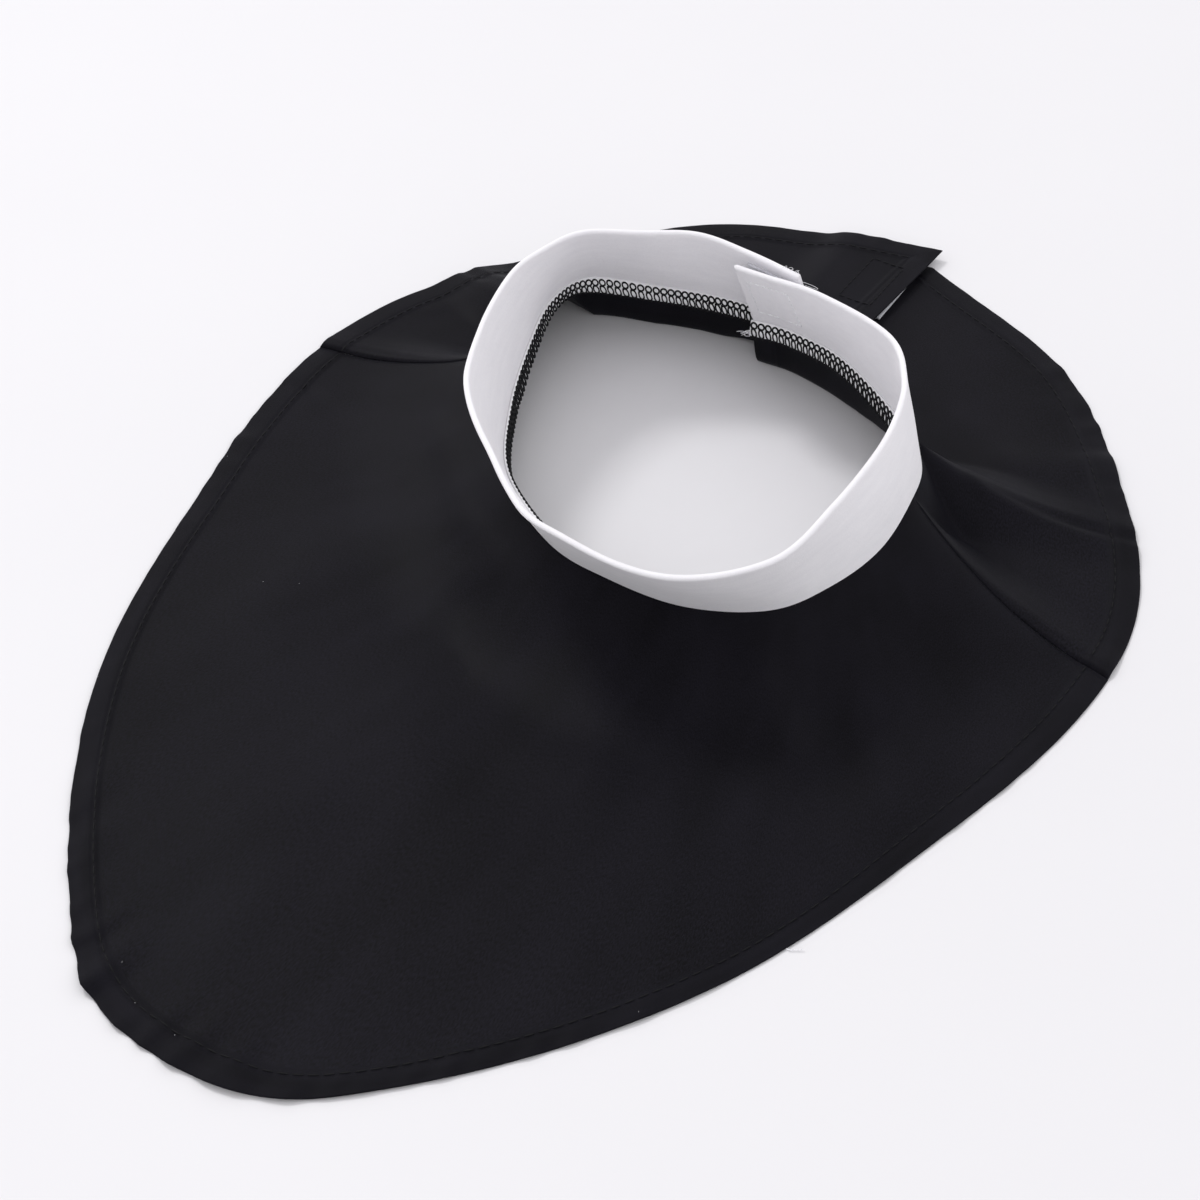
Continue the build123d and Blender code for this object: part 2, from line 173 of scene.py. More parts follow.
def band_place(s, rise, out):
    """A place on the band: s along it, rise from the seam (0) to the rim (1), out from its middle."""
    t = band_share(2 * s) * SPANS
    seam, rim = line_at(seam_stations, t), line_at(rim_stations, t)
    ahead = line_at(seam_stations, t + 0.05) - line_at(seam_stations, t - 0.05)
    ahead += line_at(rim_stations, t + 0.05) - line_at(rim_stations, t - 0.05)
    outward = (rim - seam).cross(ahead).normalized()
    sway = 0.5 * noise.noise(Vector((s * 45, rise * 1.3, 4.0))) * ease(rise * 2)
    for where, height, width in KINKS:
        sway += height * bump(s / band_length - where, width) * rise**3
    return seam + (rim - seam) * rise + outward * (out + sway * MM)


def at_x(x, first, last):
    """The length along the band, between two shares of it, where its seam crosses x."""
    spots = [band_length * (first + (last - first) * i / 200) for i in range(201)]
    return min(spots, key=lambda s: abs(band_place(s, 0, 0).x - x))


print("band is", round(band_length, 4), "long")

# %% [markdown]
# ## The bib's outline
# The hem follows the CAD panels, so it is measured on them: a ray is sent towards the middle of the neck from
# outside, at the height of each layer, and the first wall it meets is the edge. That needs no list of points.

# %% Measure the hem on the CAD panels
LAYER_HEIGHTS = (0.4 * MM, 2.6 * MM)
panel_trees = {}
for panel in ("front_panel", "left_back_panel", "right_back_panel", "right_back_flap"):
    mesh = frame["nodes"][panel].data
    panel_trees[panel] = BVHTree.FromPolygons(
        [v.co.copy() for v in mesh.vertices], [tuple(p.vertices) for p in mesh.polygons]
    )


def edge_from(start, towards, members):
    """Where a level line from start towards a place first meets the panels."""
    best = None
    for member in members:
        for height in LAYER_HEIGHTS:
            origin = Vector((start.x, start.y, height))
            ray = Vector((towards.x - start.x, towards.y - start.y, 0)).normalized()
            hit = panel_trees[member].ray_cast(origin, ray)[0]
            if hit is not None and (best is None or (hit - origin).length < best[0]):
                best = ((hit - origin).length, Vector((hit.x, hit.y, 0)))
    return best[1]


def hem_line(first_angle, last_angle, members, ends):
    """The hem between two angles round the neck, as a function of the share of its length."""
    count = 160
    places = [ends[0]]
    for i in range(1, count):
        angle = first_angle + (last_angle - first_angle) * i / count
        outside = neck_middle + Vector((cos(angle), sin(angle), 0)) * 0.4
        places.append(edge_from(outside, neck_middle, members))
    places.append(ends[1])

    def raw(x):
        return line_at(places, x * count)

    length, share = measure(raw, 2 * count)
    return lambda x: raw(share(x * length)), length


def angle_of(place):
    return atan2(place.y - neck_middle.y, place.x - neck_middle.x)


shoulder_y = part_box("left_back_panel")[0].y
left_shoulder = Vector((cad_high.x, shoulder_y, 0))
right_shoulder = Vector((cad_low.x, shoulder_y, 0))
flap_corner = Vector((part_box("right_back_flap")[1].x, cad_high.y, 0))
inner_end_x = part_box("left_back_panel")[0].x
lower_corner = edge_from(
    Vector((inner_end_x + 0.2 * MM, 0.3, 0)), Vector((inner_end_x + 0.2 * MM, 0, 0)), ["left_back_panel"]
)
front_hem, front_hem_length = hem_line(
    angle_of(left_shoulder), angle_of(right_shoulder), ["front_panel"], (left_shoulder, right_shoulder)
)
left_hem, left_hem_length = hem_line(
    angle_of(lower_corner), angle_of(left_shoulder), ["left_back_panel"], (lower_corner, left_shoulder)
)
right_hem, right_hem_length = hem_line(
    angle_of(right_shoulder) % (2 * pi), angle_of(flap_corner),
    ["right_back_panel", "right_back_flap"], (right_shoulder, flap_corner)
)
print("hems", [round(x, 3) for x in (front_hem_length, left_hem_length, right_hem_length)])

# %% [markdown]
# ## The lie of the cloth
# The satin hangs from the collar, so it is steep beside it and runs out flat. The run is short at the back
# and long over the shoulders and the front. Long soft undulations, a few folds and the puckers of the hem are
# added to that. A cloth simulation would find such a shape only from the right pattern and seams, so the
# heights are set by formula, where each can be tuned alone.

# %% Slopes, folds and undulations
SLOPE_RUNS = (  # degrees round the neck, and how far the slope runs out there, in millimetres
    (-180, 56), (-160, 50), (-125, 42), (-90, 40), (-55, 42), (-25, 48), (0, 56), (12, 56), (26, 17),
    (45, 7), (70, 4.5), (125, 4.5), (142, 8), (152, 17), (164, 56), (180, 56),
)
FOLDS = (  # from, to, height and half width of each fold, in millimetres
    ((39, -5), (69, -28), 2.4, 8), ((-66, 22), (-38, -6), 1.2, 4), ((-38, -6), (-16, -18), 1.0, 4),
    ((-116, 22), (-97, 17), -0.5, 2), ((20, -20), (30, -60), 1.0, 14), ((-60, -10), (-70, -70), 1.2, 18),
    ((85, 10), (95, -40), 1.0, 12), ((-10, -60), (-30, -120), 0.8, 20), ((-24, -24), (-16, -48), -1.2, 8),
    ((-38, 108), (-44, 150), 0.6, 9), ((60, 95), (90, 110), 0.7, 8), ((-107, 66), (-92, 89), 0.5, 4),
    ((46, 83), (110, 53.6), -0.3, 2.0),
)
RESTLESS_HEMS = (  # where the hem puckers most: x, y, height and how far that reaches, in millimetres
    (-22, -165, 2.4, 30), (16, -165, 1.5, 18), (-60, -130, 0.5, 30), (82, 117, 0.9, 26),
    (110, -20, 0.5, 26), (-112, 0, 0.4, 24), (60, -135, 0.5, 30), (-14, 168, 0.4, 16),
)


def slope_run(angle):
    """How far the slope runs out at an angle round the neck."""
    degrees = angle / radians(1)
    i = min(bisect_right([station[0] for station in SLOPE_RUNS], degrees), len(SLOPE_RUNS) - 1)
    (a, low), (b, high) = SLOPE_RUNS[i - 1], SLOPE_RUNS[i]
    return (low + (high - low) * ease((degrees - a) / (b - a))) * MM


def beside(place, a, b):
    """How far a place lies from the line a-b, and the share along it, from 0 to 1 between its ends."""
    along = b - a
    t = (place - a).dot(along) / along.length_squared
    return (place - a - along * t).length, t


hook_low, hook_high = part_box("back_hook_tape")
tape_middle = ((hook_low + hook_high) / 2).xy


def calm(place):
    """0 where the back tapes press the cloth flat, 1 well away from them."""
    return ease(((place.xy - tape_middle).length - 15 * MM) / (14 * MM))


BACK_RUN, TENT_RUN, TENT_WIDTH = 17 * MM, 56 * MM, 14 * MM


def slope(d, run):
    """The share of the seam's height that is left, d out on a slope that runs out at run."""
    return (1 - min(d / run, 1.0)) ** 2


def lie(place, d, seam_height, behind=False):
    """The height of the cloth's underside over the table, d out from the neck seam.

    Behind a shoulder seam the cloth hangs from it as a tent, down to a crease along the seam.
    """
    run = slope_run(angle_of(place))
    share = slope(d, min(run, BACK_RUN) if behind else run)
    if behind:
        aside = min(beside(place.xy, *line)[0] for line in seam_lines)
        share = max(share, slope(d, TENT_RUN) * max(1 - aside / TENT_WIDTH, 0))
    height = seam_height * share
    flat_share = ease(d / 0.02) * calm(place)
    for a, b, tall, wide in FOLDS:
        aside, t = beside(place.xy, Vector(a) * MM, Vector(b) * MM)
        ends = ease((t + 0.3) / 0.5) * ease((1.3 - t) / 0.5)
        height += tall * MM * bump(aside, wide * MM) * ends * flat_share
    height += 0.8 * MM * noise.noise(Vector((place.x * 16, place.y * 16, 1.0))) * flat_share
    height += 0.3 * MM * noise.noise(Vector((place.x * 55, place.y * 55, 7.0))) * flat_share
    return (height + sqrt(height * height + (0.2 * MM) ** 2)) / 2


def pucker(place, along, e):
    """How far the hem is lifted e in from the edge, along being the length along it."""
    strength = 0.12
    for x, y, tall, reach in RESTLESS_HEMS:
        strength += tall * bump((place.xy - Vector((x, y)) * MM).length, reach * MM)
    wave = noise.noise(Vector((along * 120, e * 30, 2.0)))
    wave += 0.6 * noise.noise(Vector((along * 190, 5.0, e * 60)))
    return strength * calm(place) * max(wave + 0.25, 0.0) * ease(1 - e / 0.016) * MM


print("slope in front", slope_run(radians(-90)), "behind", slope_run(radians(90)))

# %% [markdown]
# ## The hem
# The edge is turned twice and stitched, so it is three layers thick for 6.6 mm, round at its edge, and the
# stitches pull a groove into it. One grid makes the upper face: its rows crowd together at the hem. A
# Solidify modifier then gives each point its own thickness, from a vertex group.

# %% The thickness of the cloth
SINGLE, HEMMED = 0.32 * MM, 0.58 * MM  # one layer, and the turned hem
HEM, HEM_STEP, ROUND = 6.6 * MM, 1.6 * MM, 0.3 * MM  # its width, the soft step beyond it, its round edge
HEM_CROWN, GROOVE_DEPTH, GROOVE_WIDTH = 0.1 * MM, 0.12 * MM, 0.5 * MM


def thickness(e):
    """How thick the cloth is, e in from its edge."""
    doubled = 1 - ease((e - HEM) / HEM_STEP)
    thick = SINGLE + (HEMMED - SINGLE) * doubled
    thick += HEM_CROWN * sin(pi * min(max(e / HEM, 0), 1))
    thick -= GROOVE_DEPTH * bump(e - HEM + GROOVE_WIDTH, GROOVE_WIDTH)
    if e < ROUND:
        thick -= HEMMED * 0.55 * (1 - sqrt(1 - (1 - max(e, 0) / ROUND) ** 2))
    return thick


def cloth_grid(columns, rows, place, size):
    """A grid of squares whose corners lie at place(u, v), with a map of the cloth in millimetres."""
    bm = bmesh.new()
    bmesh.ops.create_grid(bm, x_segments=columns, y_segments=rows, size=0.5)
    flat = bm.loops.layers.uv.new("cloth")
    for face in bm.faces:
        for loop in face.loops:
            loop[flat].uv = ((loop.vert.co.x + 0.5) * size[0] / MM, (loop.vert.co.y + 0.5) * size[1] / MM)
    for vert in bm.verts:
        vert.co = place(vert.co.x + 0.5, vert.co.y + 0.5)
    return bm


def finished(name, bm, material, smooth=True):
    """Closes a bmesh into a mesh object with its material."""
    mesh = bpy.data.meshes.new(name)
    bm.to_mesh(mesh)
    bm.free()
    mesh.materials.append(material)
    for polygon in mesh.polygons:
        polygon.use_smooth = smooth
    piece = bpy.data.objects.new(name, mesh)
    bpy.context.scene.collection.objects.link(piece)
    return piece


def face_up(bm):
    """Turns a sheet over if it faces down."""
    if sum(face.normal.z for face in bm.faces) < 0:
        bmesh.ops.reverse_faces(bm, faces=bm.faces)


def thicken(piece, thick, offset=-1.0, group=""):
    """Gives a sheet its thickness: below its face with offset -1, to both sides with 0."""
    solid = piece.modifiers.new("thickness", "SOLIDIFY")
    solid.thickness, solid.offset, solid.vertex_group = thick, offset, group
    return piece


print("hem", round(thickness(3 * MM), 5), "edge", round(thickness(0), 5), "single", round(thickness(0.03), 5))

# %% [markdown]
# ## Finishes
# Black satin is nearly black, with long floats of thread that scatter the light: fine streaks in two
# directions in its bump, small flecks in its roughness and a weak sheen. The same flecks lighten its colour,
# partly the uneven tone of the threads and partly a painted glint for the sparkle of the floats. White cotton
# is matt, with an even plain weave. Each pattern reads the cloth's own map, in millimetres, so it follows the
# cloth round the collar.

# %% Material helpers
def new_material(name, colour, roughness, sheen=0.0):
    """A Principled material with its constants on its own sockets."""
    material = bpy.data.materials.new(name)
    material.use_nodes = True
    shader = material.node_tree.nodes["Principled BSDF"]
    shader.inputs["Base Color"].default_value = (*colour, 1.0)
    shader.inputs["Roughness"].default_value = roughness
    shader.inputs["Sheen Weight"].default_value = sheen
    return material, shader


def add_node(material, kind, **inputs):
    """A node with some of its inputs set."""
    node = material.node_tree.nodes.new(kind)
    for socket, value in inputs.items():
        node.inputs[socket.replace("_", " ")].default_value = value
    return node


def streaks(material, source, scale, stretch, detail=2.0):
    """Fine noise, stretched along the threads."""
    mapping = add_node(material, "ShaderNodeMapping", Scale=stretch)
    grain = add_node(material, "ShaderNodeTexNoise", Scale=scale, Detail=detail)
    material.node_tree.links.new(source, mapping.inputs["Vector"])
    material.node_tree.links.new(mapping.outputs["Vector"], grain.inputs["Vector"])
    return grain.outputs["Fac"]


def mixed(material, operation, a, b):
    """A Math node over two values."""
    node = material.node_tree.nodes.new("ShaderNodeMath")
    node.operation = operation
    for socket, value in zip(node.inputs, (a, b)):
        if isinstance(value, bpy.types.NodeSocket):
            material.node_tree.links.new(value, socket)
        else:
            socket.default_value = value
    return node.outputs["Value"]


def weighed(material, a, a_share, b, b_share):
    """The sum of two values, each times its share."""
    first, second = mixed(material, "MULTIPLY", a, a_share), mixed(material, "MULTIPLY", b, b_share)
    return mixed(material, "ADD", first, second)


def graded(material, value, low, high, dark, light):
    """Turns a value into a colour between two colours."""
    ramp = material.node_tree.nodes.new("ShaderNodeValToRGB")
    ramp.color_ramp.elements[0].position = low
    ramp.color_ramp.elements[1].position = high
    ramp.color_ramp.elements[0].color = (*dark, 1.0)
    ramp.color_ramp.elements[1].color = (*light, 1.0)
    material.node_tree.links.new(value, ramp.inputs["Fac"])
    return ramp.outputs["Color"]


def bumped(material, shader, height, strength, distance):
    """Wires a height into the shader's normal."""
    node = add_node(material, "ShaderNodeBump", Strength=strength, Distance=distance)
    material.node_tree.links.new(height, node.inputs["Height"])
    material.node_tree.links.new(node.outputs["Normal"], shader.inputs["Normal"])


def cloth_map(material):
    """The cloth's own map, in millimetres."""
    node = material.node_tree.nodes.new("ShaderNodeUVMap")
    node.uv_map = "cloth"
    return node.outputs["UV"]


def object_place(material):
    return material.node_tree.nodes.new("ShaderNodeTexCoord").outputs["Object"]


# %% Black satin
def black_satin():
    material, shader = new_material("black_satin_finish", (0.004, 0.004, 0.0055), 0.5, 0.02)
    shader.inputs["Specular IOR Level"].default_value = 0.07
    shader.inputs["Sheen Roughness"].default_value = 0.45
    shader.inputs["Sheen Tint"].default_value = (0.85, 0.87, 1.0, 1.0)
    source = cloth_map(material)
    floats = streaks(material, source, 2.4, (0.55, 2.4, 1.0))
    ties = streaks(material, source, 2.4, (2.4, 0.7, 1.0))
    speckle_and_glint = streaks(material, source, 2.1, (1.0, 1.0, 1.0), 2.0)
    weave = mixed(material, "ADD", floats, mixed(material, "MULTIPLY", ties, 0.6))
    bumped(material, shader, weave, 0.35, 0.12 * MM)
    cloudy = streaks(material, source, 0.03, (1.0, 1.0, 1.0), 3.0)
    # The colour's light flecks come from the same noise as the roughness: partly the uneven tone of the threads,
    # partly a painted glint for the sparkle of the satin's floats.
    tone = weighed(material, speckle_and_glint, 0.7, cloudy, 0.3)
    colour = graded(material, tone, 0.36, 0.66, (0.0005, 0.0004, 0.0011), (0.0078, 0.0072, 0.0114))
    material.node_tree.links.new(colour, shader.inputs["Base Color"])
    rough = mixed(material, "ADD", mixed(material, "MULTIPLY", speckle_and_glint, 0.3), 0.38)
    material.node_tree.links.new(rough, shader.inputs["Roughness"])
    return material


# %% White cotton
def white_cotton(name="white_cotton_finish", colour=(0.905, 0.893, 0.925)):
    material, shader = new_material(name, colour, 0.85, 0.15)
    source = cloth_map(material)
    weft = streaks(material, source, 2.2, (0.6, 2.0, 1.0))
    warp = streaks(material, source, 2.2, (2.0, 0.6, 1.0))
    weave = mixed(material, "ADD", weft, warp)
    bumped(material, shader, weave, 0.6, 0.14 * MM)
    slub = streaks(material, source, 0.16, (1.0, 3.0, 1.0), 3.0)
    tone = weighed(material, weave, 0.3, slub, 0.4)
    lighter = tuple(min(c * 1.04, 0.95) for c in colour)
    darker = tuple(c * 0.94 for c in colour)
    shade = graded(material, tone, 0.3, 0.7, darker, lighter)
    material.node_tree.links.new(shade, shader.inputs["Base Color"])
    return material


# %% Threads, tapes and interfacing
def twisted_thread(name, colour):
    material, shader = new_material(name, colour, 0.75)
    shader.inputs["Specular IOR Level"].default_value = 0.2
    twist = streaks(material, object_place(material), 2600, (1.0, 1.0, 1.0), 1.0)
    bumped(material, shader, twist, 0.4, 0.05 * MM)
    darker, lighter = (tuple(c * change for c in colour) for change in (0.75, 1.15))
    shade = graded(material, twist, 0.3, 0.7, darker, lighter)
    material.node_tree.links.new(shade, shader.inputs["Base Color"])
    return material


def pile(name, colour, scale, strength):
    material, shader = new_material(name, colour, 0.7, 0.4)
    fuzz = streaks(material, object_place(material), scale, (1.0, 1.0, 1.0), 4.0)
    bumped(material, shader, fuzz, strength, 0.3 * MM)
    shade = graded(material, fuzz, 0.3, 0.7, tuple(c * 0.8 for c in colour), colour)
    material.node_tree.links.new(shade, shader.inputs["Base Color"])
    return material


satin = black_satin()
cotton = white_cotton()
black_thread = twisted_thread("black_thread_finish", (0.005, 0.005, 0.006))
white_thread = twisted_thread("white_thread_finish", (0.85, 0.85, 0.87))
hook_material = pile("hook_tape", (0.62, 0.63, 0.67), 1400, 0.4)
loop_material = pile("loop_tape", (0.75, 0.75, 0.79), 900, 0.9)
stiffener = pile("interfacing", (0.80, 0.80, 0.80), 1800, 0.3)
print("materials", [m.name for m in bpy.data.materials])

# %% [markdown]
# ## The three satin panels
# Each panel is one grid. A column runs straight from the neck seam out to the hem, and a row follows the seam
# at one end and the hem at the other. The same function gives every panel its height, so that they meet.

# %% Where the shoulder seams leave the collar
def shoulder_on_band(corner, first, last):
    """The length along the band where the line of a shoulder seam meets it."""
    slope = 0.22
    spots = [band_length * (first + (last - first) * i / 300) for i in range(301)]

    def miss(s):
        place = band_place(s, 0, 0)
        return abs(place.y - corner.y - slope * (abs(corner.x) - abs(place.x)))

    return min(spots, key=miss)


left_s = shoulder_on_band(left_shoulder, 0.1, 0.4)
right_s = shoulder_on_band(right_shoulder, 0.55, 0.85)
print("shoulders at", round(left_s / band_length, 3), round(right_s / band_length, 3), "of the band")

# %% The panel's surface
NEAR, FINE = 0.52, 0.90  # shares of the rows: out to the hem band, across it, and round its edge
BAND_ROWS = 8.6 * MM


def row_distance(v, length):
    """How far out from the neck seam row v lies, on a line of this length."""
    if v < NEAR:
        share = v / NEAR
        return (length - BAND_ROWS) * (0.35 * share + 0.65 * share * share)
    if v < FINE:
        return length - BAND_ROWS + (BAND_ROWS - ROUND) * (v - NEAR) / (FINE - NEAR)
    return length - ROUND * (1 - (v - FINE) / (1 - FINE))


LAP_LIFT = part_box("right_back_flap")[1].z - HEMMED - 0.1 * MM
seam_lines = (
    (left_shoulder.xy, band_place(left_s, 0, 0).xy),
    (right_shoulder.xy, band_place(right_s, 0, 0).xy),
)
MAP_DEPTH = (neck_middle.y - front_hem(0.5).y) * 0.7  # one depth for all three maps keeps their weave alike
SEAM_DIP, DIP_WIDTH = 0.2 * MM, 1.6 * MM  # how the front panel sinks at a shoulder seam
SEAM_RIDGE, RIDGE_OUT, RIDGE_WIDTH = 0.8 * MM, 2.6 * MM, 2.0 * MM  # how a back panel rises beside it
SEAM_LINE, LINE_WIDTH = 0.15 * MM, 0.8 * MM  # the line of the seam itself, on a back panel
SEAM_WAVE, WAVE_OUT, WAVE_WIDTH = 0.5 * MM, 6 * MM, 3 * MM  # a soft wave beyond the ridge


class Panel:
    """One panel: the stretch of the band it hangs from, its hem, its free end edge and its layer."""

    def __init__(self, first_s, last_s, hem, hem_length, end_edge=None, upper=False):
        self.first_s, self.last_s, self.hem, self.hem_length = first_s, last_s, hem, hem_length
        self.end_edge, self.upper = end_edge, upper

    def spread(self, u):
        """Columns crowd together at the free end edge, where the cloth is rounded."""
        if self.end_edge == 1:
            return u + 0.92 * sin(pi * u) / pi
        if self.end_edge == 0:
            return u - 0.92 * sin(pi * u) / pi
        return u

    def end_line(self):
        u = self.end_edge
        s = self.first_s + (self.last_s - self.first_s) * u
        return band_place(s, 0, 0).xy, self.hem(u).xy

    def surface(self, share, v=None, inset=None):
        """The upper face at a share along the panel: at row v, or inset in from the hem."""
        s = self.first_s + (self.last_s - self.first_s) * share
        start = band_place(s, 0, 0)
        stop = self.hem(share)
        run = Vector((stop.x - start.x, stop.y - start.y, 0))
        length = run.length
        d = row_distance(v, length) if inset is None else length - inset
        place = Vector((start.x, start.y, 0)) + run * (d / length)
        e = length - d
        if self.end_edge is not None:
            e = min(e, beside(place.xy, *self.end_line())[0])
        under = lie(place, d, start.z, self.end_edge is not None)
        along = share * self.hem_length
        lift = pucker(place, along + 10 * self.last_s, length - d)
        under += lift
        seam_ease = ease(d / 0.004)
        for line in seam_lines:
            q = beside(place.xy, *line)[0]
            if self.end_edge is None:
                under -= min(SEAM_DIP * bump(q, DIP_WIDTH), under) * seam_ease
            else:
                ridge = SEAM_RIDGE * bump(q - RIDGE_OUT, RIDGE_WIDTH) - SEAM_LINE * bump(q, LINE_WIDTH)
                under += ridge * seam_ease
                under += SEAM_WAVE * bump(q - WAVE_OUT, WAVE_WIDTH) * seam_ease
        if self.upper:
            under += LAP_LIFT * ease((place.x - inner_end_x + 0.016) / 0.014) * ease(d / 0.006)
        thick = thickness(e)
        outward = run.normalized() * (lift * 0.7 * ease(1 - e / HEM))
        return place + outward + Vector((0, 0, max(under, 0.0) + thick)), thick

    def build(self, name, columns, rows):
        """The panel as a mesh: its upper face, and the thickness under each point."""
        bm = cloth_grid(
            columns, rows, lambda u, v: self.surface(self.spread(u), v)[0], (self.hem_length, MAP_DEPTH)
        )
        face_up(bm)
        piece = finished(name, bm, satin)
        group = piece.vertex_groups.new(name="thickness")
        most = HEMMED + 0.2 * MM
        grid = [(i / columns, j / rows) for j in range(rows + 1) for i in range(columns + 1)]
        for index, (u, v) in enumerate(grid):
            group.add([index], self.surface(self.spread(u), v)[1] / most, "REPLACE")
        return thicken(piece, most, group=group.name)


# %% Make the panels
front = Panel(left_s, right_s, front_hem, front_hem_length)
left_back = Panel(0.0, left_s, left_hem, left_hem_length, end_edge=0)
right_back = Panel(right_s, band_length, right_hem, right_hem_length, end_edge=1, upper=True)
coarse = 1.0
front_cloth = front.build("front_panel_cloth", int(300 * coarse), int(84 * coarse))
left_back_cloth = left_back.build("left_back_cloth", int(190 * coarse), int(78 * coarse))
right_back_cloth = right_back.build("right_back_cloth", int(210 * coarse), int(78 * coarse))
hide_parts("front_panel")
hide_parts("left_back_panel")
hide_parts("right_back_panel", "right_back_flap")
for piece in (front_cloth, left_back_cloth):
    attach(piece, "bib")
for piece in (front_cloth, left_back_cloth, right_back_cloth):
    print(piece.name, len(piece.data.vertices), "points")

# %% [markdown]
# The corner of the right back turns up about a fold. The CAD hinge gives the fold's place and direction, and
# the hem stitches past the fold go with the flap.

# %% Where the flap folds
flap_hinge = Vector(joints["back_flap_peel"]["pos_m"])
flap_axis = Vector(joints["back_flap_peel"]["axis"])
towards_corner = Vector((-flap_axis.y, flap_axis.x, 0)).normalized()
if (flap_corner - flap_hinge).dot(towards_corner) < 0:
    towards_corner = -towards_corner
BEND = 6 * MM
flap_start = flap_hinge - towards_corner * 3 * MM
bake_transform(right_back_cloth)


def on_flap(place):
    """Whether a place lies past the fold."""
    return (place - flap_start).dot(towards_corner) > BEND / 2


print("fold leads towards", towards_corner)

# %% [markdown]
# ## The collar band
# A strip of cotton is folded along the rim over stiff interfacing. Its section is a thin loop: up the outer
# face, over the fold, down the inner face. A grid whose short side follows that loop makes both faces and the
# fold at once, and its lower edges are bridged where the seam closes them. The outer end is a piece of its
# own that starts with the same section, because only that end turns on the hinge.

# %% The band's section
HALF, FOLD_HALF = 0.66 * MM, 0.78 * MM
BAND_HEIGHT = 30 * MM
FACE = 0.42  # share of the section's points on each face
END_ROUND = 0.8 * MM


def band_section(v):
    """The rise and the place across the band, for v from 0 at the outer foot to 1 at the inner foot."""
    roll = FOLD_HALF / BAND_HEIGHT
    if v <= FACE:
        share, side = v / FACE, 1
    elif v >= 1 - FACE:
        share, side = (1 - v) / FACE, -1
    else:
        turn = (v - FACE) / (1 - 2 * FACE) * pi
        return 1 - roll + roll * sin(turn), FOLD_HALF * cos(turn)
    rise = (1 - roll) * share
    half = HALF + (FOLD_HALF - HALF) * ease((rise - 0.88) / 0.1)
    return rise, side * half


def band_strip(name, first_s, last_s, columns, rounded):
    """A stretch of the band. rounded says which end is a finished end: 0 the first, 1 the last."""
    length = last_s - first_s
    bend = 0.93 if rounded == 0 else -0.93

    def place(u, v):
        s = first_s + length * (u - bend * sin(pi * u) / pi)
        rise, out = band_section(v)
        e = s - first_s if rounded == 0 else last_s - s
        if e < END_ROUND:
            out *= max(sqrt(1 - (1 - max(e, 0) / END_ROUND) ** 2), 0.2)
        return band_place(s, rise, out)

    bm = cloth_grid(columns, 40, place, (length, 2 * BAND_HEIGHT))
    foot_edges = [edge for edge in bm.edges if edge.is_boundary]
    bm.verts.ensure_lookup_table()
    row = columns + 1
    outer = set(bm.verts[:row])
    inner = set(bm.verts[-row:])
    bottom = [e for e in foot_edges if set(e.verts) <= outer or set(e.verts) <= inner]
    bmesh.ops.bridge_loops(bm, edges=bottom)
    open_edges = [e for e in bm.edges if e.is_boundary]
    bmesh.ops.holes_fill(bm, edges=open_edges, sides=0)
    for edge in bottom + open_edges:
        edge.smooth = False
    bmesh.ops.recalc_face_normals(bm, faces=bm.faces)
    return finished(name, bm, cotton)


# %% Make the band and its outer end
split_s = at_x(-0.040, 0.80, 0.95)
band_cloth = band_strip("collar_band_cloth", 0.0, split_s, int(300 * coarse), 0)
end_cloth = band_strip("collar_end_cloth", split_s, band_length, int(70 * coarse), 1)
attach(band_cloth, "bib")
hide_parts("collar_band")
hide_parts("collar_end_tab")
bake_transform(end_cloth)
print("band split at", round(split_s, 4), "of", round(band_length, 4))

# %% [markdown]
# ## Strips that follow the band
# The interfacing inside it and the tapes on it follow the same course, so one helper makes them: a slab
# between two offsets and two rises. The seam allowance hangs below the seam, where it is trimmed unevenly,
# so it has a course of its own.

# %% The strip helper
def slab(name, first_s, last_s, low, high, inside, outside, material, columns, rows):
    """A thin slab along the band, from the rise low to the rise high."""

    def outer_face(u, v):
        return band_place(first_s + (last_s - first_s) * u, low + (high - low) * v, outside)

    bm = cloth_grid(columns, rows, outer_face, (last_s - first_s, (high - low) * BAND_HEIGHT))
    bmesh.ops.recalc_face_normals(bm, faces=bm.faces)
    middle_s = (first_s + last_s) / 2
    outward = band_place(middle_s, 0.5, MM) - band_place(middle_s, 0.5, 0)
    nearest = min(bm.faces, key=lambda f: (f.calc_center_median() - outer_face(0.5, 0.5)).length)
    if nearest.normal.dot(outward) < 0:
        bmesh.ops.reverse_faces(bm, faces=bm.faces)
    return thicken(finished(name, bm, material), outside - inside)


# %% Interfacing and seam allowance
interfacing = slab(
    "collar_interfacing_strip", 2 * MM, split_s - 1 * MM, 0.05, 0.93, -0.25 * MM, 0.25 * MM, stiffener, 200, 6
)
end_interfacing = slab(
    "collar_end_interfacing", at_x(-0.018, 0.85, 1.0), band_length - 2 * MM, 0.08, 0.93,
    -0.25 * MM, 0.25 * MM, stiffener, 24, 6
)
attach(interfacing, "bib")
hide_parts("collar_interfacing")
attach(end_interfacing, "collar_tab")
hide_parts("collar_tab_interfacing")
ALLOWANCE_OUT, ALLOWANCE_THICK = -1.0 * MM, 0.6 * MM
ALLOWANCE_DEPTH = 4.2
allowance_end = at_x(-0.0165, 0.85, 1.0)


def allowance_depth(s):
    """How far the allowance hangs below the seam: it is trimmed a little unevenly."""
    share = s / band_length
    depth = ALLOWANCE_DEPTH + 0.3 * noise.noise(Vector((s * 60, 2.0, 9.0)))
    depth -= 1.4 * bump(share - 0.80, 0.03)
    depth += 0.9 * bump(share - 0.715, 0.012)
    return depth * MM


def allowance_place(s, share, out):
    """A place on the hanging allowance: share of the way down, out from its own face."""
    depth = allowance_depth(s)
    lean = 0.9 * MM * share
    return band_place(s, 0, ALLOWANCE_OUT + out - lean) + Vector((0, 0, 0.4 * MM - depth * share))


